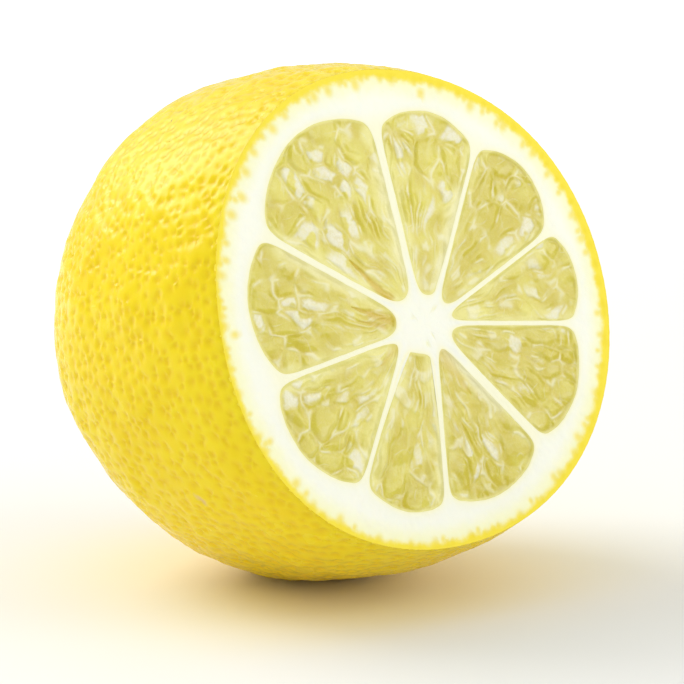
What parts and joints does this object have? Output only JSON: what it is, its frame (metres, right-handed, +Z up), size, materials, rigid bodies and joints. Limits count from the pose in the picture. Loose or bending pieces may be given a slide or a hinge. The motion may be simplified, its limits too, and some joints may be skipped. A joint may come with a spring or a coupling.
{
  "type": "cut lemon",
  "caption": "Fresh lemon with one end sliced off square, lying on its side so the cut face shows pulp segments, white pith and core; the tip end is whole.",
  "frame": {"origin": "centre of the small flat on the underside that the lemon rests on", "axes": "+Z up, -Y out of the cut face (which is turned up by 15.4 degrees), +Y towards the tip, +X to the right when the cut face is seen from the front"},
  "size_m": [0.0596, 0.0591, 0.0595],
  "materials": {
    "peel": "waxy lemon skin with small oil-gland dimples, satin gloss",
    "pith": "white spongy pith, core and membranes, moist and matt",
    "pulp": "wet translucent pale yellow-green juice sacs"
  },
  "bodies": {
    "root": {"cut_lemon": "peel"}
  },
  "joints": []
}
